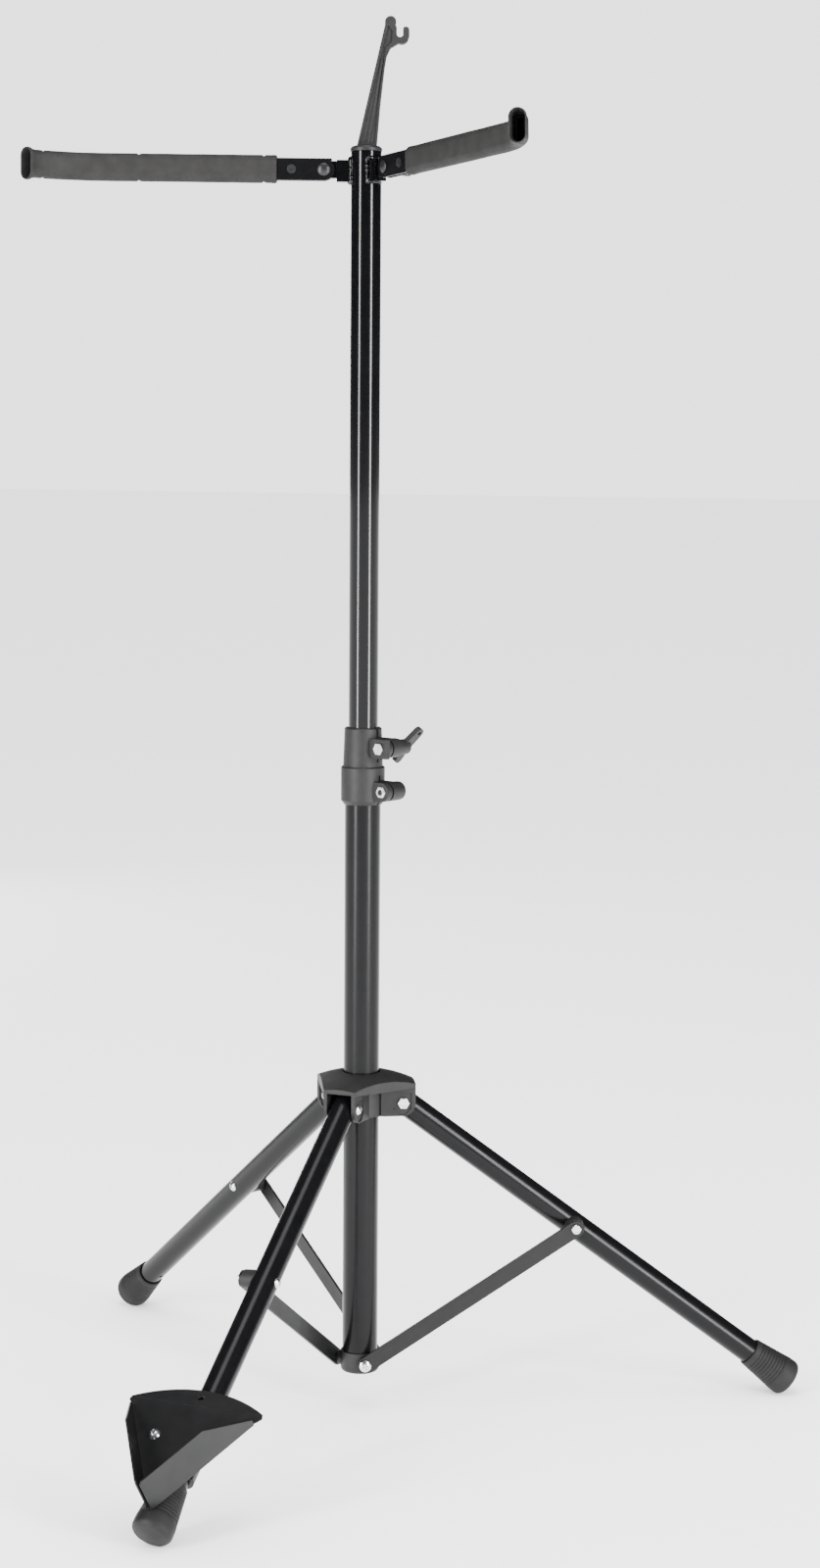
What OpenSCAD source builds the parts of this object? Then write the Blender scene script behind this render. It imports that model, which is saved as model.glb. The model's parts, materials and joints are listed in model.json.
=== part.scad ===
// Folding tripod floor stand: telescoping mast, sliding leg crown with strap braces,
// two padded yoke arms, a top hook and a folded V plate on the front leg.
// Millimetres, +Z up. The origin is on the floor under the mast axis and the front leg
// points along -Y.

/* [Mast] */
// Outside diameter of the lower mast tube
outer_d = 35; // [32:0.5:38]
// Outside diameter of the upper mast tube
upper_d = 29; // [27:0.5:30]
// Wall of both mast tubes
tube_wall = 1.5; // [1:0.1:2]
// Height of the mast tube's lower end, on the base cap's shoulder
base_top = 57; // [54:1:62]
// Height of the lower tube's top end, inside the collar
outer_top = 640; // [620:1:660]
// Height of the upper tube's top end as drawn
upper_top = 1234.7; // [1200:0.1:1270]
// Height of the upper tube's lower end as drawn
upper_low = 520; // [500:1:560]

/* [Legs] */
// Azimuth of the front leg
front_az = -90; // [-180:1:180]
// Angle of a leg from the vertical
leg_angle = 53.28; // [50:0.01:56]
// From the crown's pivot to the foot's tip
leg_len = 500; // [480:1:520]
// Outside diameter of a leg tube
leg_d = 25; // [24:0.5:26]
// Height of the crown's leg pivots
hub_z = 310.4; // [305:0.1:315]
// Distance of the leg pivots from the mast axis
hub_r = 40.4; // [40:0.1:42]
// From the crown's pivot to the brace bolt, along the leg
brace_s = 216; // [210:0.5:225]
// Height of the brace pivots on the base cap
base_z = 46.9; // [44:0.1:48]
// Distance of the base pivots from the mast axis, along the leg's direction
base_r = 3; // [0:0.1:4]
// Width of a strap brace
strap_w = 16; // [14:0.5:18]
// Thickness of a strap brace
strap_t = 2.6; // [2:0.1:3]

/* [Yoke] */
// Height of the yoke arms' pivots
arm_z = 1217.7; // [1200:0.1:1222]
// Azimuth of the yoke's middle
yoke_az = -97; // [-120:1:-60]
// Half the angle between the two arms
yoke_half = 60.6; // [50:0.1:65]
// Rise of the left arm from level
rise_left = 0.4; // [0:0.1:3]
// Rise of the right arm from level
rise_right = 2.4; // [0:0.1:3]
// Distance of an arm's pivot from the mast axis
arm_pivot = 40.5; // [40:0.5:42]
// Where a rubber sleeve starts, from the mast axis
pad_start = 85.5; // [80:0.5:95]
// Where the bent end starts, from the mast axis
bend_start = 248; // [220:1:260]
// Radius of the bent end
bend_r = 102.5; // [90:0.5:130]
// Angle of the bent end
bend_angle = 46.6; // [30:0.1:55]
// Height of a rubber sleeve
pad_h = 26.5; // [25:0.5:28]
// Thickness of a rubber sleeve
pad_w = 14; // [13:0.1:16]

/* [Collar] */
// Azimuth of the collar's split
split_az = -16.6; // [-60:0.1:60]
// Height of the collar's lower end
collar_low = 606.5; // [600:0.5:612]
// Height of the step between its two halves
collar_step = 643.8; // [641:0.1:650]
// Height of the collar's top
collar_top = 682; // [676:1:690]

/* [Heel plate] */
// Where the plate's fold line crosses the leg, from the crown's pivot
heel_s = 374; // [360:1:376]
// Half width of the plate at its corners
heel_half = 66.5; // [60:0.5:70]
// From the fold line to where the two sides would meet
heel_len = 114; // [105:1:116]
// Height of the side flanges
heel_flange = 39; // [30:1:42]
// Sheet thickness
sheet_t = 1.5; // [1:0.1:2]

/* [Hook] */
// Azimuth the hook opens to, as drawn
hook_az = 24.4; // [-180:0.1:180]
// Thickness of the hook post
hook_t = 10; // [8:0.5:12]

/* [Hidden] */
LEGS = ["front", "right", "left"];

$fn = 64;
gap = 0.3;             // air kept between parts that move past each other
fit = 0.05;            // radial play of a running fit
sway = 1;              // play of a strap along its base screw, which lets the braces fold
bolt_r = 3;            // M6 shanks
outer_r = outer_d / 2;
outer_in = outer_r - tube_wall;
upper_r = upper_d / 2;
upper_in = upper_r - tube_wall;
leg_r = leg_d / 2;
leg_dip = 90 - leg_angle;
strap_y = outer_r + 4.5;              // inner face of a strap, from its leg's plane
strap_out = strap_y + strap_t;
leg_end = 8.5;                        // tube left above the crown's pivot
// brace geometry, from its base pivot to its leg bolt
brace_dr = hub_r + brace_s * sin(leg_angle) - base_r;
brace_dz = hub_z - brace_s * cos(leg_angle) - base_z;
brace_len = norm([brace_dr, brace_dz]);
brace_rise = atan2(brace_dz, brace_dr);
// rubber foot
foot_r = 18.9;
foot_rim = leg_len - 54;
// yoke arm
arm_h = 20.8;
arm_w = 9;
tongue_w = 4.6;
web_t = 2;
washer_t = 1.5;
lock_y = arm_w / 2 + gap + washer_t + gap;   // inner face of the lock lever
// collar bolts
bolt1_r = 30;
bolt1_z = 663;
bolt2_r = 30;
bolt2_z = 620.5;
// heel plate
heel_w = 19.3;                        // underside of the plate above the leg's axis
heel_bolt_s = 409.5;
heel_bolt_u = 27.5;

BLACK = [0.06, 0.06, 0.065];
GLOSS = [0.03, 0.03, 0.03];
PLASTIC = [0.16, 0.16, 0.16];
RUBBER = [0.19, 0.18, 0.18];
ZINC = [0.78, 0.79, 0.8];

function leg_az(side) = front_az + (side == "front" ? 0 : side == "right" ? 120 : 240);
function arm_az(side) = side == "left" ? yoke_az - yoke_half : yoke_az + yoke_half;
function arm_rise(side) = side == "left" ? rise_left : rise_right;
// front face of an arm is +Y for the left one and -Y for the right one
function arm_hand(side) = side == "left" ? 1 : -1;

// ---- helpers ----

module tube(r, inner, low, high) {
    translate([0, 0, low]) difference() {
        cylinder(r = r, h = high - low);
        translate([0, 0, -1]) cylinder(r = inner, h = high - low + 2);
    }
}

// cylinder along +X
module rod_x(r, a, b) {
    translate([a, 0, 0]) rotate([0, 90, 0]) cylinder(r = r, h = b - a);
}

// cylinder along +Y
module rod_y(r, a, b) {
    translate([0, a, 0]) rotate([-90, 0, 0]) cylinder(r = r, h = b - a);
}

// hexagonal bar along +Y
module hex_y(flats, a, b) {
    translate([0, a, 0]) rotate([-90, 0, 0]) cylinder(r = flats / sqrt(3), h = b - a, $fn = 6);
}

// domed head with a hexagon socket: sits on y = 0 and rises to +Y
module button_head(r, h) {
    ball = (r * r + h * h) / (2 * h);
    difference() {
        intersection() {
            rod_y(r, 0, h);
            translate([0, h - ball, 0]) sphere(r = ball);
        }
        hex_y(3.5, h * 0.4, h + 1);
    }
}

// leg frame: +X down the leg, +Z away from the floor, -Y to the right looking outwards
module at_leg(side) {
    rotate([0, 0, leg_az(side)]) translate([hub_r, 0, hub_z]) rotate([0, leg_dip, 0]) children();
}

module at_arm(side) {
    rotate([0, 0, arm_az(side)]) translate([arm_pivot, 0, arm_z])
        rotate([0, -arm_rise(side), 0]) translate([-arm_pivot, 0, 0]) children();
}

// ---- mast ----

module outer_tube() {
    color(BLACK) tube(outer_r, outer_in, base_top, outer_top);
}

module base_cap() {
    cap_r = outer_r + 1.65;
    low = base_top - 21;
    color(PLASTIC) difference() {
        union() {
            rotate_extrude() union() {
                polygon([[0, low], [cap_r - 4, low], [cap_r, low + 4], [cap_r, base_top], [0, base_top]]);
                translate([cap_r - 4, low + 4]) circle(r = 4);
            }
            translate([0, 0, base_top]) cylinder(r = outer_in - 0.03, h = 26);
            for (side = LEGS) rotate([0, 0, leg_az(side)])
                translate([base_r, 0, base_z]) rod_y(7, -strap_y + sway, -10);
        }
        for (side = LEGS) rotate([0, 0, leg_az(side)])
            translate([base_r, 0, base_z]) rod_y(bolt_r, -strap_y, -9);
        translate([0, 0, base_top + 4]) cylinder(r = outer_in - 4, h = 30);
    }
}

module base_screws() {
    head_y = strap_out + sway;
    dome = 9.4;
    color(ZINC) for (side = LEGS) rotate([0, 0, leg_az(side)]) translate([base_r, 0, base_z])
        rotate([0, 0, 180]) difference() {
            union() {
                rod_y(bolt_r - 0.01, 9.5, head_y + 0.5);
                rod_y(5.8, head_y, head_y + 0.6);
                translate([0, head_y + 0.6, 0]) intersection() {
                    rod_y(5.8, -0.1, 2);
                    translate([0, 2 - dome, 0]) sphere(r = dome);
                }
            }
            for (turn = [20, 110]) rotate([0, turn, 0])
                translate([-3, head_y + 0.9, -0.6]) cube([6, 4, 1.2]);
        }
}

// ---- telescoping collar ----

// frame of a collar bolt: +X along the split, +Y along the bolt towards its knob
module at_bolt(r, z) {
    rotate([0, 0, split_az]) translate([r, 0, z]) children();
}

module height_collar() {
    low_r = outer_r + 4.05;
    ear_r = 9.4;
    color(PLASTIC) difference() {
        union() {
            rotate_extrude() polygon([[outer_r - 4, collar_low], [low_r - 3, collar_low], [low_r, collar_low + 4],
                [low_r, collar_step - 1], [low_r - 1, collar_step], [upper_r + 5, collar_step],
                [upper_r + 3.8, collar_top - 1.2], [upper_r + 2.6, collar_top], [upper_r, collar_top],
                [upper_r, collar_step], [outer_r - 4, outer_top]]);
            at_bolt(bolt1_r, bolt1_z) {
                rod_y(ear_r, -9, 13);
                translate([-16, -9, -ear_r]) cube([16, 20, 2 * ear_r]);
                translate([-ear_r, -11, -ear_r]) cube([2 * ear_r, 5, 2 * ear_r]);
            }
            at_bolt(bolt2_r, bolt2_z) {
                rod_y(ear_r, -8, 16);
                translate([-16, -8, -ear_r]) cube([16, 20, 2 * ear_r]);
            }
        }
        // seats of the lower tube, the liner and the upper tube
        translate([0, 0, collar_low - 1]) cylinder(r = outer_r + 0.03, h = outer_top - collar_low + 1.2);
        translate([0, 0, outer_top]) cylinder(r = upper_r + 1.5, h = collar_top);
        // split with its bolt holes
        rotate([0, 0, split_az]) {
            translate([5, -1.1, collar_step + 5]) cube([60, 2.2, 60]);
            translate([5, -1.1, collar_low - 1]) cube([60, 2.2, outer_top - collar_low - 3]);
        }
        at_bolt(bolt1_r, bolt1_z) {
            rod_y(bolt_r + fit, -20, 20);
            hex_y(10.8, -12, -8.3);
        }
        at_bolt(bolt2_r, bolt2_z) {
            rod_y(bolt_r + fit, -20, 20);
            hex_y(10.4, -9, -5);
        }
    }
}

module collar_liner() {
    color(PLASTIC) difference() {
        tube(upper_r + 1.45, upper_r + fit, outer_top + 0.5, collar_top - 1);
        rotate([0, 0, split_az]) translate([5, -1.1, outer_top]) cube([30, 2.2, 60]);
    }
}

module collar_bolt() {
    color(ZINC) at_bolt(bolt1_r, bolt1_z) {
        hex_y(10.4, -13, -8.5);
        rod_y(bolt_r, -9, 24);
    }
}

module collar_screw() {
    color(PLASTIC) at_bolt(bolt2_r, bolt2_z) {
        rod_y(bolt_r, -8.4, 17);
        rod_y(9, 16.1, 19.2);
        translate([0, 19.2, 0]) intersection() {
            rod_y(9, -0.1, 2.4);
            translate([0, 2.4 - 18, 0]) sphere(r = 18);
        }
    }
}

module collar_nut() {
    color(ZINC) at_bolt(bolt2_r, bolt2_z) difference() {
        union() {
            hex_y(10, -8.4, -5.2);
            rod_y(4.6, -9.4, -8.3);
        }
        rod_y(bolt_r + 0.01, -10, 0);
    }
}

module wing_knob() {
    root = [0, 27];
    tip = [16.5, 37];
    tail = [-13.5, 25];
    lean = -58;
    color(PLASTIC) at_bolt(bolt1_r, bolt1_z) difference() {
        union() {
            rod_y(8.6, 13.3, 17);
            rod_y(7.5, 16, 29);
            rotate([0, lean, 0]) translate([0, 0, -2.6]) linear_extrude(5.2) {
                limb(root, 6, tip, 5.2);
                limb(root, 6, tail, 4.4);
            }
        }
        rod_y(bolt_r + fit, 0, 24.3);
        rotate([0, lean, 0]) translate([tip[0], tip[1], -5]) cylinder(r = 1.9, h = 10);
    }
}

// ---- upper tube ----

module upper_tube() {
    color(GLOSS) tube(upper_r, upper_in, upper_low, upper_top);
}

module guide_bush() {
    color(PLASTIC) tube(outer_in - fit, upper_r + fit, upper_low, upper_low + 30);
}

// flat tapered limb, from a circle at a to a circle at b
module limb(a, ra, b, rb) {
    d = norm(b - a);
    turn = acos((ra - rb) / d);
    dir = atan2(b[1] - a[1], b[0] - a[0]);
    up = [cos(dir + turn), sin(dir + turn)];
    down = [cos(dir - turn), sin(dir - turn)];
    polygon([a + ra * up, a + ra * down, b + rb * down, b + rb * up]);
    translate(a) circle(r = ra);
    translate(b) circle(r = rb);
}

// outline of the hook: X the way it opens, Y up from its foot
module hook_outline() {
    difference() {
        union() {
            // tapered post with the web that carries the bowl
            polygon([[-8.9, 0], [10.2, 0], [13.2, 36.9], [17.2, 72.9], [19, 84], [22.6, 91.6], [31, 96.6],
                [31, 103], [28, 112], [23, 117.5], [17.9, 116.5]]);
            translate([22.5, 116.1]) circle(r = 5.4);
            // bowl and tip
            translate([33.2, 102.3]) circle(r = 6.8);
            translate([33.7, 102.3]) square([6.8, 6]);
            translate([37.1, 108.3]) circle(r = 3.4);
        }
        // throat, open at the top
        translate([31.5, 104.8]) circle(r = 3);
        translate([28.5, 104.8]) square([6, 30]);
    }
}

// shallow recess in both faces of the post, inside its rims
module hook_recess() {
    polygon([[-7, 1.9], [8.3, 1.9], [11.3, 36.9], [15.3, 72.9], [18.6, 92], [24, 98], [24.5, 108], [20, 113]]);
}

module hook_post() {
    foot = upper_top + 6;
    color(PLASTIC) rotate([0, 0, hook_az]) {
        difference() {
            translate([0, hook_t / 2, foot - 0.5]) rotate([90, 0, 0])
                linear_extrude(hook_t) hook_outline();
            for (face = [-1, 1]) translate([0, face * (hook_t / 2 + 0.2) + 2, foot - 0.5])
                rotate([90, 0, 0]) linear_extrude(4) hook_recess();
        }
        // rib down the middle of both faces
        translate([0, hook_t / 2 - 0.6, foot - 0.5]) rotate([90, 0, 0]) linear_extrude(hook_t - 1.2) {
            limb([1.5, 3], 1.3, [9, 44.3], 1.1);
            limb([9, 44.3], 1.1, [14.5, 80], 1);
        }
        rotate_extrude() polygon([[0, upper_top - 30], [upper_in - 1.1, upper_top - 30],
            [upper_in - fit, upper_top - 28], [upper_in - fit, upper_top + 0.3], [upper_r + 0.7, upper_top + 0.3],
            [upper_r + 0.7, upper_top + 3.2], [upper_r - 1, upper_top + 5], [upper_r - 5, foot], [0, foot]]);
    }
}

// ---- yoke ----

block_end = arm_pivot - 12.5;
stub_h = arm_h - 0.2;
stub_drop = 1.3;

module stub_block(grow = 0) {
    translate([5, -6 - grow, -stub_h / 2 - stub_drop - grow])
        cube([block_end - 5, 12 + 2 * grow, stub_h + 2 * grow]);
}

module arm_stub(side) {
    tongue_h = arm_h - 2 * web_t - 2 * gap;
    color(GLOSS) difference() {
        at_arm(side) union() {
            stub_block();
            translate([block_end - 1, -tongue_w / 2, -tongue_h / 2])
                cube([arm_pivot - block_end + 1, tongue_w, tongue_h]);
            translate([arm_pivot, 0, 0]) rod_y(tongue_h / 2, -tongue_w / 2, tongue_w / 2);
        }
        mast_cut(0.02);
        at_arm(side) translate([arm_pivot, 0, 0]) rod_y(bolt_r + 0.01, -10, 10);
    }
}

// the upper tube's outside, cut out of what is welded to it
module mast_cut(air) {
    translate([0, 0, arm_z - 40]) cylinder(r = upper_r + air, h = 80);
}

// frame of an arm's pivot: +Y is the arm's inner face
module at_pivot(side) {
    at_arm(side) translate([arm_pivot, 0, 0]) rotate([0, 0, arm_hand(side) > 0 ? 0 : 180]) children();
}

// bolt with its domed head inside and a washer under the lock lever
module pivot_bolt(side) {
    face = arm_w / 2 + gap;
    dome = 10.5;
    color(BLACK) at_pivot(side) {
        rod_y(bolt_r, -lock_y - 7, face + 0.1);
        translate([0, face, 0]) intersection() {
            rod_y(6, 0, 2);
            translate([0, 2 - dome, 0]) sphere(r = dome);
        }
        rod_y(9.8, -face - washer_t, -face);
    }
}

// clamping lever on the pivot bolt, along the outer face of the arm
module lock_lever(side) {
    along = side == "left" ? 0 : 163;
    reach = 22;
    color(BLACK) at_pivot(side) rotate([0, along, 0]) difference() {
        union() {
            rod_y(7.5, -lock_y - 6.5, -lock_y);
            translate([0, -lock_y - 1, 0]) rotate([90, 0, 0]) linear_extrude(4.5) limb([0, 0], 7, [reach, 0], 4.5);
        }
        rod_y(bolt_r + fit, -40, 0);
    }
}

module weld_beads() {
    color(GLOSS) for (side = ["left", "right"]) difference() {
        at_arm(side) for (face = [-1, 1]) {
            for (step = [-3:3]) translate([upper_r - 0.6, face * 6.8, step * 3.1 - stub_drop])
                sphere(r = 2.5, $fn = 24);
            for (step = [-2:2]) translate([upper_r + 0.8, step * 2.8, face * (stub_h / 2 + 0.6) - stub_drop])
                sphere(r = 2.2, $fn = 24);
        }
        at_arm(side) stub_block(0.02);
        mast_cut(0.03);
    }
}

// sweeps a section (X across the arm, Y up) from one place on the arm to another
module arm_sweep(side, from, to) {
    straight = min(to, bend_start);
    mirror([0, arm_hand(side) > 0 ? 0 : 1, 0]) {
        if (straight > from)
            translate([from, 0, 0]) rotate([90, 0, 90]) linear_extrude(straight - from) children();
        if (to > bend_start) {
            first = max(0, from - bend_start) / bend_r * 180 / PI;
            last = (to - bend_start) / bend_r * 180 / PI;
            translate([bend_start, bend_r, 0]) rotate([0, 0, first - 90])
                rotate_extrude(angle = last - first, $fn = 96) translate([bend_r, 0]) children();
        }
    }
}

bar_end = bend_start + 67;
pad_end = bend_start + bend_r * bend_angle * PI / 180;

module bar_section() {
    wall = (arm_w - tongue_w) / 2 - gap;
    for (face = [-1, 1]) translate([face * (arm_w - wall) / 2 - wall / 2, -arm_h / 2]) square([wall, arm_h]);
    translate([-arm_w / 2, arm_h / 2 - web_t]) square([arm_w, web_t]);
}

module arm_bar(side) {
    color(BLACK) at_arm(side) difference() {
        union() {
            arm_sweep(side, arm_pivot, bar_end) bar_section();
            translate([arm_pivot, 0, 0]) for (face = [-1, 1])
                rod_y(arm_h / 2, face > 0 ? tongue_w / 2 + gap : -arm_w / 2, face > 0 ? arm_w / 2 : -tongue_w / 2 - gap);
            translate([arm_pivot - 7.5, -arm_w / 2, arm_h / 2 - web_t]) cube([8, arm_w, web_t]);
        }
        translate([arm_pivot, 0, 0]) rod_y(bolt_r + fit, -20, 20);
        translate([arm_pivot + 31, 0, 0]) rod_y(2.01, -20, 20);
    }
}

module arm_screw(side) {
    color(BLACK) at_pivot(side) translate([arm_hand(side) * 31, 0, 0]) {
        rod_y(2, -arm_w / 2, arm_w / 2 + 0.1);
        difference() {
            translate([0, arm_w / 2, 0]) rod_y(4.4, 0, 1.1);
            hex_y(2.6, arm_w / 2 + 0.4, arm_w / 2 + 3);
        }
    }
}

module oval(w, h) {
    square([w, h - w], center = true);
    for (end = [-1, 1]) translate([0, end * (h - w) / 2]) circle(r = w / 2);
}

module arm_pad(side) {
    color(RUBBER) at_arm(side) difference() {
        union() {
            arm_sweep(side, pad_start, pad_end - 9) oval(pad_w, pad_h);
            arm_sweep(side, pad_end - 10, pad_end - 4) oval(pad_w + 1.2, pad_h + 2.4);
            arm_sweep(side, pad_end - 5, pad_end) oval(pad_w + 2.3, pad_h + 4.4);
        }
        arm_sweep(side, pad_start - 1, pad_end - 6) square([arm_w + 0.2, arm_h + 0.2], center = true);
        arm_sweep(side, pad_end - 8, pad_end + 1) oval(pad_w - 2.4, pad_h + 0.4);
    }
}

// ---- crown ----

lobe_r = 52.5;
lobe_half = 16.7;
slot_half = leg_r + 0.5;
bore_r = outer_r + 1.4;

module crown_outline() {
    corner = [for (k = [0:2]) for (face = [-1, 1])
        let (a = front_az + 120 * k) [lobe_r * cos(a) - face * lobe_half * sin(a),
                                      lobe_r * sin(a) + face * lobe_half * cos(a)]];
    polygon(corner);
}

module leg_crown() {
    dome = 130;
    top = hub_z + 31.5;
    color(PLASTIC) difference() {
        union() {
            intersection() {
                translate([0, 0, hub_z + 15.1]) linear_extrude(25) crown_outline();
                translate([0, 0, top - dome]) sphere(r = dome, $fn = 128);
            }
            translate([0, 0, hub_z - 13]) cylinder(r = bore_r + 4.2, h = 30);
            for (side = LEGS) rotate([0, 0, leg_az(side)]) for (face = [-1, 1]) {
                translate([bore_r - 1, face > 0 ? slot_half : -lobe_half, hub_z])
                    cube([lobe_r - bore_r + 1, lobe_half - slot_half, 16]);
                translate([bore_r - 1, face > 0 ? slot_half : -lobe_half, hub_z - 13])
                    cube([hub_r - bore_r + 1, lobe_half - slot_half, 14]);
                translate([hub_r - 0.4, 0, hub_z - 0.5])
                    rod_y(12.5, face > 0 ? slot_half : -lobe_half, face > 0 ? lobe_half : -slot_half);
            }
        }
        translate([0, 0, hub_z - 30]) cylinder(r = bore_r, h = 80);
        for (side = LEGS) rotate([0, 0, leg_az(side)]) {
            // room for the leg to swing, and the pivot's bore
            translate([hub_r - 15.8, -slot_half, hub_z - 30]) cube([60, 2 * slot_half, 45.8]);
            translate([hub_r, 0, hub_z]) rod_y(bolt_r + fit, -30, 30);
            for (face = [-1, 1]) translate([0, face * (lobe_half + 8.8), 0]) {
                translate([hub_r - 10, -10, hub_z - 6]) cube([18, 20, 16]);
                translate([hub_r - 1, 0, hub_z - 5]) rod_y(7, -10, 10);
            }
        }
    }
}

module crown_bolts() {
    seat = lobe_half - 1.2;
    color(ZINC) for (side = LEGS) rotate([0, 0, leg_az(side)]) translate([hub_r, 0, hub_z]) {
        rod_y(bolt_r, -seat - 3.5, seat + 0.1);
        translate([0, seat, 0]) button_head(5.2, 3);
    }
}

module crown_nuts() {
    seat = lobe_half - 1.2;
    color(ZINC) for (side = LEGS) rotate([0, 0, leg_az(side)]) translate([hub_r, 0, hub_z])
        rotate([0, 0, 180]) difference() {
            union() {
                hex_y(10, seat, seat + 3);
                rod_y(4.6, seat + 2.9, seat + 4.2);
            }
            rod_y(bolt_r + 0.01, 0, seat + 8);
        }
}

// ---- legs and braces ----

module leg(side) {
    color(BLACK) at_leg(side) difference() {
        rod_x(leg_r, -leg_end, leg_len - 12);
        rod_x(leg_r - 1.5, -leg_end - 1, leg_len - 11);
        rod_y(bolt_r + 0.02, -20, 20);
        translate([brace_s, 0, 0]) rod_y(bolt_r + 0.02, -20, 20);
        translate([leg_len - 72, 0, -20]) cylinder(r = 2.5, h = 15);
    }
}

module foot(side) {
    rim_r = 14.6;
    flare = (foot_r - rim_r) / (leg_len - 15 - foot_rim);
    color(RUBBER) at_leg(side) rotate([0, 90, 0]) difference() {
        rotate_extrude() difference() {
            union() {
                polygon([[0, foot_rim], [rim_r - 0.8, foot_rim], [rim_r, foot_rim + 1], [foot_r, leg_len - 15],
                    [foot_r, leg_len - 8], [foot_r - 6, leg_len - 2], [0, leg_len]]);
                translate([foot_r - 6, leg_len - 8]) circle(r = 6);
            }
            for (k = [0:8]) translate([rim_r - 0.1 + (k * 3.3 + 5) * flare, foot_rim + 6 + k * 3.3])
                square([3, 1]);
            translate([-20, 0]) square([20, 600]);
        }
        translate([0, 0, foot_rim - 1]) cylinder(r = leg_r + 0.02, h = 54 - 12 + 1.2);
    }
}

module brace(side) {
    open = side != "front";
    color(BLACK) rotate([0, 0, leg_az(side)]) translate([base_r, 0, base_z]) rotate([0, -brace_rise, 0])
        difference() {
            union() {
                translate([0, -strap_out, -strap_w / 2]) cube([brace_len, strap_t, strap_w]);
                for (x = [0, brace_len]) translate([x, 0, 0]) rod_y(strap_w / 2, -strap_out, -strap_y);
            }
            rod_y(open ? 5.1 : bolt_r + fit, -40, 0);
            translate([brace_len, 0, 0]) rod_y(bolt_r + fit, -40, 0);
        }
}

// bolt through leg, spacer and strap: its domed head is on the leg's left side
module brace_bolt(side) {
    color(ZINC) at_leg(side) translate([brace_s, 0, 0]) {
        rod_y(bolt_r, -strap_out - 2, leg_r + 0.1);
        difference() {
            translate([0, leg_r - 2.2, 0]) rod_y(5, 0.6, 2.2);
            rod_x(leg_r + 0.02, -10, 10);
        }
        translate([0, leg_r, 0]) button_head(5, 2.8);
    }
}

// conical bush between leg and strap
module brace_spacer(side) {
    low = 7;
    high = strap_y - gap;
    color(PLASTIC) at_leg(side) translate([brace_s, 0, 0]) difference() {
        rotate([90, 0, 0]) rotate_extrude()
            polygon([[bolt_r + 0.01, low], [10, low], [9, high], [bolt_r + 0.01, high]]);
        rod_x(leg_r + 0.02, -12, 12);
    }
}

module brace_nut(side) {
    low = strap_out + gap;
    high = low + 2.6;
    color(ZINC) at_leg(side) translate([brace_s, 0, 0]) rotate([90, 0, 0]) rotate_extrude()
        polygon([[bolt_r + 0.01, low], [4.8, low], [4.8, high - 0.9], [4, high], [bolt_r + 0.01, high]]);
}

// ---- heel plate on the front leg ----

heel_slope = heel_half / (heel_len - 1);
heel_bend = 12;
heel_arc = 19.5;      // rise of the arched top edge above the fold line

// flat V of the plate: X along the leg from the fold line, Y across the leg
module heel_outline() {
    tail = heel_len - 4;
    polygon([[0, -heel_half + 1], [0, heel_half - 1], [3, heel_half], [7, (heel_len - 7) * heel_slope],
             [9, (heel_len - 9) * heel_slope - 1.5], [tail, 4 * heel_slope], [tail, -4 * heel_slope],
             [9, -(heel_len - 9) * heel_slope + 1.5], [7, -(heel_len - 7) * heel_slope], [3, -heel_half]]);
}

module heel_plate() {
    edge = atan(heel_slope);
    start = 10;
    run = (heel_len - 4 - start) / cos(edge);
    kink = 39 / cos(edge);
    arc_r = (heel_half * heel_half + heel_arc * heel_arc) / (2 * heel_arc);
    color(BLACK) at_leg("front") translate([heel_s, 0, heel_w]) difference() {
        union() {
            linear_extrude(sheet_t) heel_outline();
            // arched top segment, bent back towards the leg
            rotate([0, -heel_bend, 0]) linear_extrude(sheet_t) intersection() {
                translate([arc_r - heel_arc, 0]) circle(r = arc_r, $fn = 128);
                translate([-heel_arc - 1, -heel_half + 1]) square([heel_arc + 1.2, 2 * heel_half - 2]);
            }
            for (hand = [-1, 1]) translate([start, hand * (heel_len - start) * heel_slope, 0])
                rotate([0, 0, -hand * edge]) translate([0, hand > 0 ? -sheet_t : 0, 0])
                    rotate([90, 0, 0]) translate([0, 0, -sheet_t]) linear_extrude(sheet_t)
                        polygon([[0, 0], [run, 0], [run, heel_flange - 3], [run - 3, heel_flange],
                            [kink, heel_flange], [1, 8], [0, 7]]);
        }
        for (hand = [-1, 1]) translate([heel_bolt_s - heel_s, hand * heel_bolt_u, -1])
            cylinder(r = bolt_r + 0.1, h = 6);
        rotate([0, -heel_bend, 0]) translate([-9.7, 0, -1]) cylinder(r = 3, h = 6);
    }
}

module seat_block() {
    color(PLASTIC) at_leg("front") translate([heel_bolt_s - 17.5, 0, 0]) difference() {
        translate([0, -15, 8]) cube([45, 30, heel_w - 8.02]);
        rod_x(leg_r + fit, -1, 60);
    }
}

module saddle_clamp() {
    thick = 3;
    inner = leg_r + fit;
    outer = inner + 4;
    color(BLACK) at_leg("front") translate([heel_bolt_s - 17.5, 0, 0]) difference() {
        union() {
            rod_x(outer, 0, 45);
            for (hand = [-1, 1]) {
                translate([5, hand > 0 ? outer - 4 : -outer, 0]) cube([25, 4, heel_w - 0.05]);
                translate([5, hand > 0 ? outer - 4 : -heel_bolt_u - 7, heel_w - thick - 0.05])
                    cube([25, heel_bolt_u + 7 - outer + 4, thick]);
            }
        }
        rod_x(inner, -1, 60);
        translate([-1, -15.05, 2]) cube([60, 30.1, 30]);
        translate([31, -40, 2]) cube([20, 80, 30]);
        for (hand = [-1, 1]) translate([17.5, hand * heel_bolt_u, 0]) cylinder(r = bolt_r + 0.1, h = 30);
    }
}

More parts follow.
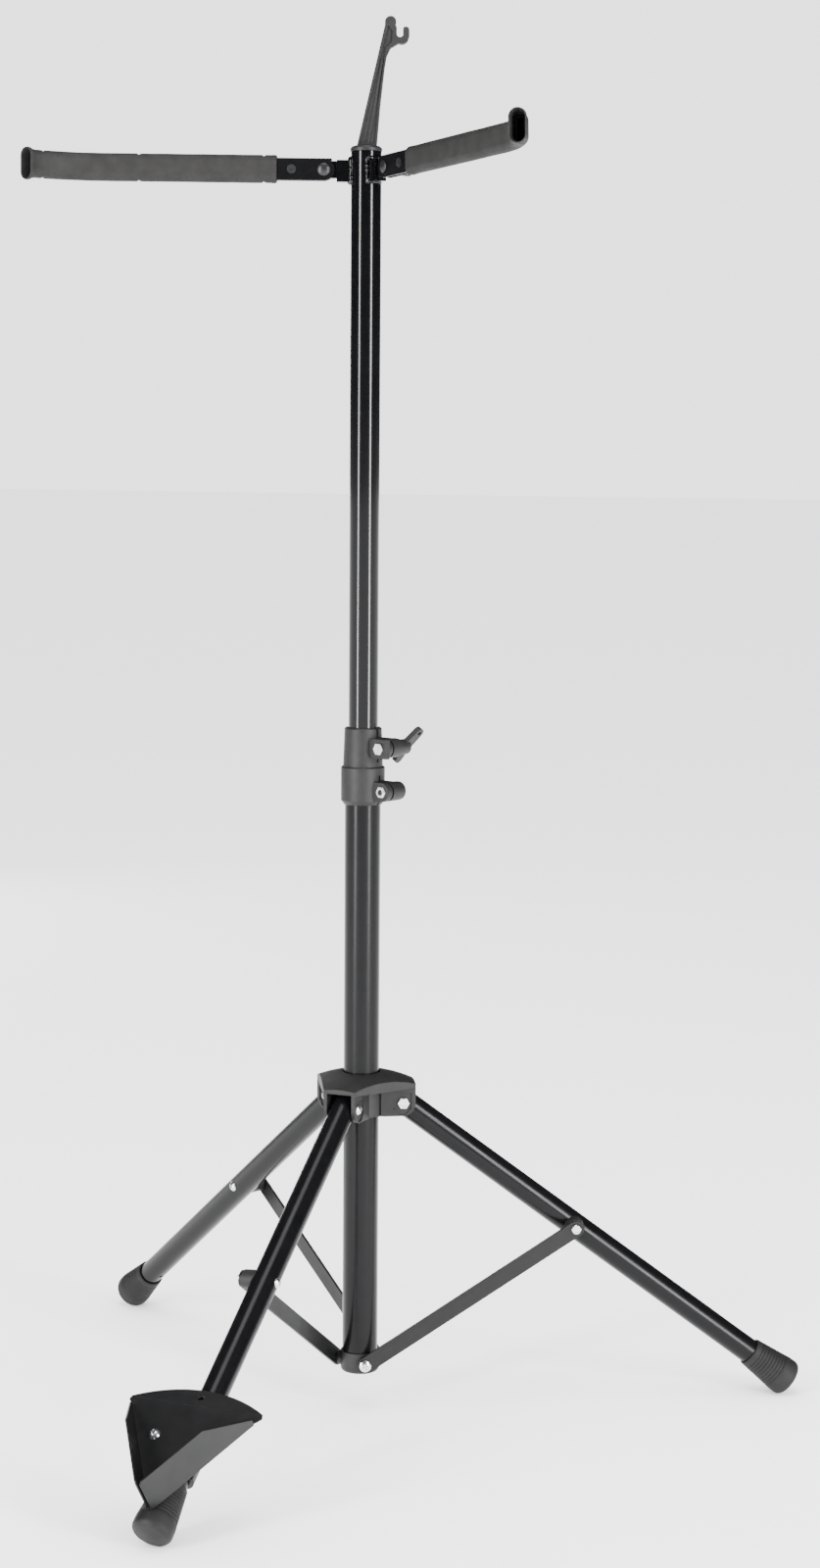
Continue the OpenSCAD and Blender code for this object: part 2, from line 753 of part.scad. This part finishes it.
module heel_bolts() {
    color(ZINC) at_leg("front") for (hand = [-1, 1]) translate([heel_bolt_s, hand * heel_bolt_u, heel_w + sheet_t])
        rotate([90, 0, 0]) {
            button_head(6, 3.2);
            rod_y(bolt_r, -12, 0.1);
        }
}

module heel_nuts() {
    color(ZINC) at_leg("front") for (hand = [-1, 1]) translate([heel_bolt_s, hand * heel_bolt_u, heel_w - 3.1])
        rotate([90, 0, 0]) difference() {
            hex_y(10, -4.5, 0);
            rod_y(bolt_r + 0.01, -10, 1);
        }
}

// ---- assembly ----

outer_tube();
base_cap();
base_screws();
height_collar();
collar_liner();
collar_bolt();
collar_screw();
collar_nut();
wing_knob();
upper_tube();
guide_bush();
hook_post();
weld_beads();
leg_crown();
crown_bolts();
crown_nuts();
heel_plate();
seat_block();
saddle_clamp();
heel_bolts();
heel_nuts();
for (side = LEGS) {
    leg(side);
    foot(side);
    brace(side);
    brace_bolt(side);
    brace_spacer(side);
    brace_nut(side);
}
for (side = ["left", "right"]) {
    arm_stub(side);
    pivot_bolt(side);
    lock_lever(side);
    arm_bar(side);
    arm_pad(side);
    arm_screw(side);
}
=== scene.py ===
"""Looks of the folding tripod stand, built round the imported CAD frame. Metres, +Z up."""
import json
import math

import bmesh
import bpy
from mathutils import Matrix, Vector, noise


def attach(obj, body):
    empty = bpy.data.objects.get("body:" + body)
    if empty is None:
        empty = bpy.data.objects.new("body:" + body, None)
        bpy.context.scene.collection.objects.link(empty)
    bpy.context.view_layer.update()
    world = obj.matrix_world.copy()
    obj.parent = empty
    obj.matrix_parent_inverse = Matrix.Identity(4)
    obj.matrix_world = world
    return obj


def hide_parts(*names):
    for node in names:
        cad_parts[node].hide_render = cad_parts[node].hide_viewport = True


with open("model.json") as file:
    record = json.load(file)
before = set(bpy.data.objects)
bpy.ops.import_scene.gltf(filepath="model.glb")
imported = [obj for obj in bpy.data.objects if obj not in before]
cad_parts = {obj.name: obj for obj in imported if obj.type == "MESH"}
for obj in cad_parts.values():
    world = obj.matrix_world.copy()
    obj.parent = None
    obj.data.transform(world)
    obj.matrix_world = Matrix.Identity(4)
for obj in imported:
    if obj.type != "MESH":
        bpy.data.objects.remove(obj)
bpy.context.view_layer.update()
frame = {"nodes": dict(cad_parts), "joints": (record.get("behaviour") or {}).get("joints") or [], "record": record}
JOINTS = {joint["name"]: joint for joint in frame["joints"]}
BODY_OF = {n: b for b, members in frame["record"]["behaviour"]["bodies"].items() for n in members}
MM = 0.001
UP = Vector((0, 0, 1))


# ---- camera, lights and floor ----

CAMERA_PLACE = (1.1962, -2.6410, 0.9489)
CAMERA_AHEAD = (-0.3956, 0.9118, -0.1106)
CAMERA_ROLL = math.radians(0.41)
SENSOR_MM, LENS_MM = 36, 68.35


def make_camera():
    """Camera a little right of the front leg, looking slightly down."""
    ahead = Vector(CAMERA_AHEAD).normalized()
    right = ahead.cross(UP).normalized()
    above = right.cross(ahead)
    side = right * math.cos(CAMERA_ROLL) + above * math.sin(CAMERA_ROLL)
    top = above * math.cos(CAMERA_ROLL) - right * math.sin(CAMERA_ROLL)
    data = bpy.data.cameras.new("camera")
    data.sensor_fit = "VERTICAL"
    data.sensor_width = data.sensor_height = SENSOR_MM
    data.lens = LENS_MM
    camera = bpy.data.objects.new("camera", data)
    camera.matrix_world = Matrix((side, top, -ahead)).transposed().to_4x4()
    camera.location = CAMERA_PLACE
    bpy.context.collection.objects.link(camera)
    bpy.context.scene.camera = camera


def softbox(name, place, target, width, height, watts):
    """Rectangular studio light at a place, turned towards its target."""
    data = bpy.data.lights.new(name, "AREA")
    data.shape = "RECTANGLE"
    data.size, data.size_y, data.energy = width, height, watts
    lamp = bpy.data.objects.new(name, data)
    lamp.location = place
    lamp.rotation_euler = (Vector(target) - Vector(place)).to_track_quat("-Z", "Y").to_euler()
    bpy.context.collection.objects.link(lamp)


def make_floor():
    """Plain pale floor, wide enough that its far edge fades into the background."""
    reach = 60.0
    white = (0.97, 0.97, 0.97, 1)
    mesh = bpy.data.meshes.new("studio_floor")
    bm = bmesh.new()
    corners = ((-reach, -reach), (reach, -reach), (reach, reach), (-reach, reach))
    bm.faces.new([bm.verts.new((x, y, 0)) for x, y in corners])
    bm.to_mesh(mesh)
    bm.free()
    floor = bpy.data.objects.new("studio_floor", mesh)
    bpy.context.collection.objects.link(floor)
    material = bpy.data.materials.new("studio_white")
    material.use_nodes = True
    shader = material.node_tree.nodes["Principled BSDF"]
    shader.inputs["Base Color"].default_value = white
    shader.inputs["Roughness"].default_value = 0.9
    mesh.materials.append(material)


def make_world():
    """Bright surroundings that glossy surfaces see as a dark room, so that black lacquer stays
    black between the softboxes."""
    world = bpy.data.worlds.new("studio")
    world.use_nodes = True
    links, nodes = world.node_tree.links, world.node_tree.nodes
    bright = nodes["Background"]
    bright.inputs["Color"].default_value = (1, 1, 1, 1)
    bright.inputs["Strength"].default_value = 2.6
    dark = nodes.new("ShaderNodeBackground")
    dark.inputs["Strength"].default_value = 0.1
    rays, mix = nodes.new("ShaderNodeLightPath"), nodes.new("ShaderNodeMixShader")
    links.new(rays.outputs["Is Glossy Ray"], mix.inputs[0])
    links.new(bright.outputs[0], mix.inputs[1])
    links.new(dark.outputs[0], mix.inputs[2])
    links.new(mix.outputs[0], nodes["World Output"].inputs["Surface"])
    bpy.context.scene.world = world


def make_lights():
    """Three tall softboxes, aimed at the mast's middle, and a square one overhead."""
    middle, low = (0, 0, 0.7), (0, 0, 0.4)
    softbox("left_box", (-1.3, -3.2, 1.4), middle, width=0.5, height=2.8, watts=190)
    softbox("right_box", (3.3, -1.3, 1.4), middle, width=0.6, height=2.8, watts=240)
    softbox("back_box", (-2.6, 2.6, 1.4), middle, width=0.5, height=2.4, watts=25)
    softbox("top_box", (0.3, -0.6, 3.8), low, width=1.6, height=1.6, watts=60)


# ---- materials ----

MOTTLE = 28         # noise scale of the slow changes in roughness
TINT = 90           # noise scale of the changes in colour
TINT_SWING = 0.18   # how far the colour goes up and down


def surface(name, color, roughness, grain, depth, spread=0.06, metallic=0.0, coat=0.0,
            bevel=0.4, specular=0.5):
    """Principled material with mottled roughness and colour, a fine bump and softened edges.

    grain and depth are the bump's size and height, and bevel the edges' radius, all in mm.
    spread is how far the roughness goes up and down.
    """
    material = bpy.data.materials.new(name)
    material.use_nodes = True
    nodes, links = material.node_tree.nodes, material.node_tree.links
    shader = nodes["Principled BSDF"]
    shader.inputs["Metallic"].default_value = metallic
    shader.inputs["Coat Weight"].default_value = coat
    shader.inputs["Coat Roughness"].default_value = 0.06
    shader.inputs["Specular IOR Level"].default_value = specular
    place = nodes.new("ShaderNodeTexCoord")

    def cloud(scale, detail):
        field = nodes.new("ShaderNodeTexNoise")
        field.inputs["Scale"].default_value = scale
        field.inputs["Detail"].default_value = detail
        links.new(place.outputs["Object"], field.inputs["Vector"])
        return field.outputs["Fac"]

    def ramp(value, low, high):
        scaled = nodes.new("ShaderNodeMapRange")
        scaled.inputs["From Min"].default_value = 0.3
        scaled.inputs["From Max"].default_value = 0.7
        scaled.inputs["To Min"].default_value = low
        scaled.inputs["To Max"].default_value = high
        links.new(value, scaled.inputs["Value"])
        return scaled.outputs["Result"]

    mottled = ramp(cloud(MOTTLE, 4), roughness - spread, roughness + spread)
    links.new(mottled, shader.inputs["Roughness"])
    tint = nodes.new("ShaderNodeValToRGB")
    tint.color_ramp.elements[0].position = 0.3
    tint.color_ramp.elements[1].position = 0.7
    tint.color_ramp.elements[0].color = (*[c * (1 - TINT_SWING) for c in color], 1)
    tint.color_ramp.elements[1].color = (*[c * (1 + TINT_SWING) for c in color], 1)
    links.new(cloud(TINT, 6), tint.inputs["Fac"])
    links.new(tint.outputs["Color"], shader.inputs["Base Color"])
    bump = nodes.new("ShaderNodeBump")
    bump.inputs["Distance"].default_value = depth * MM
    bump.inputs["Strength"].default_value = 1
    links.new(cloud(1000 / grain, 2), bump.inputs["Height"])
    soft = nodes.new("ShaderNodeBevel")
    soft.samples = 4
    soft.inputs["Radius"].default_value = bevel * MM
    links.new(soft.outputs["Normal"], bump.inputs["Normal"])
    links.new(bump.outputs["Normal"], shader.inputs["Normal"])
    return material


SATIN = surface("satin_black_lacquer", (0.0025, 0.0025, 0.003), 0.24, grain=1.1, depth=0.002,
                spread=0.03, specular=0.17)
GLOSS = surface("gloss_black_lacquer", (0.0015, 0.0015, 0.002), 0.15, grain=5.0, depth=0.001,
                spread=0.015, coat=0.25, specular=0.2)
POWDER = surface("black_powder_coat", (0.004, 0.004, 0.0045), 0.42, grain=0.9, depth=0.05,
                 bevel=0.7, specular=0.3)
PLASTIC = surface("moulded_black_plastic", (0.0095, 0.0092, 0.0092), 0.5, grain=0.55, depth=0.045,
                  bevel=0.8, specular=0.3)
SLEEVE = surface("sleeve_rubber", (0.012, 0.0115, 0.0113), 0.66, grain=0.8, depth=0.06,
                 spread=0.08, bevel=0.5, specular=0.2)
FOOT = surface("foot_rubber", (0.008, 0.0078, 0.0077), 0.6, grain=0.7, depth=0.06,
               spread=0.07, bevel=0.3, specular=0.25)
ZINC = surface("bright_zinc", (0.72, 0.73, 0.75), 0.27, grain=1.5, depth=0.02,
               spread=0.07, metallic=1.0, bevel=0.25)
OXIDE = surface("black_oxide", (0.02, 0.02, 0.021), 0.34, grain=0.8, depth=0.02,
                metallic=0.6, bevel=0.2)

BY_SLOT = {"satin_black_tube": SATIN, "gloss_black_tube": GLOSS, "black_steel_plate": POWDER,
           "matte_plastic": PLASTIC, "pad_rubber": SLEEVE, "foot_rubber": FOOT, "zinc": ZINC,
           "black_screw": OXIDE}


def paint_frame():
    """Gives every CAD node the material of its slot."""
    for part in frame["record"]["subparts"]:
        node = frame["nodes"][part["node"]]
        node.data.materials.clear()
        node.data.materials.append(BY_SLOT[part["material_slot"]])


# ---- mesh helpers ----

def put(mesh, name, material, slot, *nodes):
    """Smooth piece that stands for the named CAD nodes and rides on their body."""
    for face in mesh.polygons:
        face.use_smooth = True
    mesh.materials.append(material)
    piece = bpy.data.objects.new(name, mesh)
    bpy.context.collection.objects.link(piece)
    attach(piece, BODY_OF[nodes[0]])
    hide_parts(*nodes)
    return piece


def skin(name, rings, loop=False):
    """Mesh through rings of points. loop joins the last ring to the first, else both ends are closed."""
    bm = bmesh.new()
    rows = [[bm.verts.new(point) for point in ring] for ring in rings]
    pairs = list(zip(rows, rows[1:])) + ([(rows[-1], rows[0])] if loop else [])
    count = len(rows[0])
    for low, high in pairs:
        for i in range(count):
            j = (i + 1) % count
            bm.faces.new((low[i], low[j], high[j], high[i]))
    if not loop:
        bm.faces.new(list(reversed(rows[0])))
        bm.faces.new(rows[-1])
    bmesh.ops.recalc_face_normals(bm, faces=bm.faces)
    mesh = bpy.data.meshes.new(name)
    bm.to_mesh(mesh)
    bm.free()
    return mesh


# ---- yoke sleeves ----

ARM_Z = JOINTS["arm_left_fold"]["pos_m"][2]
RISE = {"left": math.radians(0.4), "right": math.radians(2.4)}
SLEEVE_START, BEND_START, BEND_R = 0.0855, 0.248, 0.1025
BEND = math.radians(46.6)
SLEEVE_END = BEND_START + BEND_R * BEND
SLEEVE_H, SLEEVE_W = 0.0265, 0.014
BAR_H, BAR_W = 0.0208, 0.009


def arm_axes(side):
    """Pivot of an arm with its outward, inward-facing and upward directions."""
    joint = JOINTS[f"arm_{side}_fold"]
    pivot = Vector(joint["pos_m"])
    out = Vector((pivot.x, pivot.y, 0)).normalized()
    inner = Vector(joint["axis"]) * (1 if side == "left" else -1)
    tilt = RISE[side]
    along = out * math.cos(tilt) + UP * math.sin(tilt)
    above = UP * math.cos(tilt) - out * math.sin(tilt)
    return pivot, along, inner, above


def arm_place(side, s):
    """Centre of the arm at a distance s from the mast, with its across and up directions."""
    pivot, out, inner, above = arm_axes(side)
    root = pivot - out * Vector((pivot.x, pivot.y, 0)).length
    turn = max(0.0, s - BEND_START) / BEND_R
    straight = min(s, BEND_START)
    centre = root + out * (straight + BEND_R * math.sin(turn)) + inner * BEND_R * (1 - math.cos(turn))
    return centre, inner * math.cos(turn) - out * math.sin(turn), above


def sleeve_ring(side, s, width, height, dent=0.0, lumps=0.0, corner=None, count=64):
    """Ring round the arm at a distance s from the mast: an oval, or a box with the given corner radius.

    dent pinches its top and bottom inwards, and lumps makes its surface uneven.
    """
    centre, across, above = arm_place(side, s)
    radius = width / 2 if corner is None else corner
    reach_w, reach_h = width / 2 - radius, height / 2 - radius
    ring = []
    for i in range(count):
        angle = 2 * math.pi * (i + 0.5) / count
        c, d = math.cos(angle), math.sin(angle)
        x = radius * c + math.copysign(reach_w, c)
        z = radius * d + math.copysign(reach_h, d)
        z -= math.copysign(dent * max(0.0, abs(d) - 0.55) / 0.45, d)
        swell = 1 + lumps * noise.noise(Vector((s * 60, 3 * c, 3 * d + (7 if side == "left" else 0))))
        ring.append(centre + across * x * swell + above * z * swell)
    return ring


def make_sleeve(side):
    """Rubber sleeve over an arm: stepped inner end, pinch marks, flared open mouth and hollow end."""
    notches, notch_depth, notch_width = (0.098, 0.218, 0.312), 0.0015, 0.0011
    rings = []
    # mm along the sleeve, and mm added to its width and height
    ends = ((0, -1.6), (0.3, -0.9), (0.9, -0.2), (1.8, 0.35), (4.2, 0.4), (4.8, -0.1), (5.4, 0))
    for along, grow in ends:
        s = SLEEVE_START + along * MM
        rings.append(sleeve_ring(side, s, SLEEVE_W + grow * MM, SLEEVE_H + grow * MM))
    step, plain_start, mouth_room, lumps = 0.0015, 0.0054, 0.012, 0.012
    for i in range(1, int((SLEEVE_END - mouth_room - SLEEVE_START - plain_start) / step)):
        s = SLEEVE_START + plain_start + i * step
        dent = sum(notch_depth * math.exp(-((s - notch) / notch_width) ** 2) for notch in notches)
        rings.append(sleeve_ring(side, s, SLEEVE_W, SLEEVE_H, dent, lumps))
    # mm from the sleeve's end, and mm added to its width and to its height, out over the lip and in
    mouth = ((-11, 0, 0), (-8, 0.3, 0.6), (-5.5, 1.0, 2.2), (-4, 1.9, 3.8), (-2.6, 2.3, 4.4),
             (-0.9, 2.2, 4.2), (-0.2, 1.7, 3.7), (0, 1.0, 3.0), (-0.3, 0.2, 2.2), (-1.6, -0.6, 1.4),
             (-5, -1.6, 0.2), (-9, -2.2, -0.8), (-15, -2.6, -1.6), (-17, -3.6, -3.6))
    for along, wide, high in mouth:
        s = SLEEVE_END + along * MM
        rings.append(sleeve_ring(side, s, SLEEVE_W + wide * MM, SLEEVE_H + high * MM))
    # back along the bar to the start, as a close channel
    spare, cavity, steps = 0.0006, 0.018, 40
    for i in range(steps + 1):
        s = SLEEVE_END - cavity + (SLEEVE_START - SLEEVE_END + cavity) * i / steps
        rings.append(sleeve_ring(side, s, BAR_W + spare, BAR_H + spare, corner=spare))
    mesh = skin(f"sleeve_{side}", rings, loop=True)
    piece = put(mesh, f"sleeve_{side}", SLEEVE, "pad_rubber", f"arm_pad_{side}")


# ---- rubber feet ----

LEG_AZIMUTH = {"front": -90, "right": 30, "left": 150}
LEG_TILT = math.radians(53.28)
HUB_R, HUB_Z = 0.0404, 0.3104


def leg_frame(side):
    """Matrix of a leg: Z down the leg from the crown's pivot, X across, Y away from the floor's side."""
    a = math.radians(LEG_AZIMUTH[side])
    out = Vector((math.cos(a), math.sin(a), 0))
    down = out * math.sin(LEG_TILT) - UP * math.cos(LEG_TILT)
    across = out.cross(UP)
    up = down.cross(across)
    matrix = Matrix((across, up, down)).transposed().to_4x4()
    matrix.translation = out * HUB_R + UP * HUB_Z
    return matrix


def make_foot(side):
    """Ribbed rubber foot: rolled rim round the tube, nine grooves, full toe and shallow dome.

    The profile is in mm: radius, then distance down the leg from the crown's pivot.
    """
    rim, toe, tip, tube = 14.6, 18.9, 500.0, 12.55
    flare = (toe - rim) / 39
    grooves, pitch = 9, 3.3
    profile = [(tube, 452), (tube, 447), (rim - 1.5, 446), (rim - 0.5, 446.2), (rim, 447),
               (rim + 0.15, 449)]
    for k in range(grooves):
        start = 452 + pitch * k
        r = rim + (start - 447) * flare
        profile += [(r - 0.1, start - 0.5), (r, start), (r - 0.2, start + 0.25), (r - 0.8, start + 0.4),
                    (r - 0.8, start + 0.95), (r - 0.1, start + 1.1), (r + 0.12, start + 1.4)]
    profile += [(toe - 0.25, 483.2), (toe, 485.5), (toe, 491)]
    profile += [(toe - 6 + 6 * math.cos(t), 492 + 6 * math.sin(t)) for t in
                [math.radians(a) for a in range(10, 81, 10)]]
    profile += [(9.5, 498.9), (5, 499.7), (1.2, tip)]
    place = leg_frame(side)
    count, unevenness = 96, 0.004
    turns = [2 * math.pi * i / count for i in range(count)]
    rings = []
    for r, z in profile:
        ring = []
        for t in turns:
            swell = noise.noise(Vector((math.cos(t) * 2, math.sin(t) * 2, z * 0.05)))
            q = r * (1 + unevenness * swell)
            ring.append(place @ Vector((q * math.cos(t) * MM, q * math.sin(t) * MM, z * MM)))
        rings.append(ring)
    put(skin(f"foot_shell_{side}", rings), f"foot_shell_{side}", FOOT, "foot_rubber", f"foot_{side}")


# ---- weld beads ----

def make_welds():
    """Lumpy weld beads down both sides of each arm's stub and across its top and bottom."""
    bm = bmesh.new()
    tube_r, half_w, half_h, drop = 0.0145, 0.0066, 0.0103, 0.0013
    pitch, blob, unevenness = 0.0019, 0.0024, 0.3
    for side in ("left", "right"):
        pivot, out, inner, above = arm_axes(side)
        level = Vector((0, 0, ARM_Z)) - above * drop
        spots = [(tube_r - 0.0004, face * half_w, step * pitch)
                 for face in (-1, 1) for step in range(-6, 7)]
        spots += [(tube_r + 0.0008, step * pitch, face * (half_h + 0.0004))
                  for face in (-1, 1) for step in range(-3, 4)]
        for r, y, z in spots:
            centre = level + out * r + inner * y + above * z
            size = blob * (1 + unevenness * noise.noise(centre * 900))
            bmesh.ops.create_icosphere(bm, subdivisions=2, radius=size,
                                       matrix=Matrix.Translation(centre))
    mesh = bpy.data.meshes.new("weld_runs")
    bm.to_mesh(mesh)
    bm.free()
    piece = put(mesh, "weld_runs", GLOSS, "gloss_black_tube", "weld_beads")
    fuse = piece.modifiers.new("fuse", "REMESH")
    fuse.mode = "VOXEL"
    fuse.voxel_size = 0.0005
    fuse.use_smooth_shade = True
    relax = piece.modifiers.new("relax", "SMOOTH")
    relax.iterations = 3


make_camera()
make_floor()
make_world()
make_lights()
paint_frame()
for side in ("left", "right"):
    make_sleeve(side)
for side in LEG_AZIMUTH:
    make_foot(side)
make_welds()
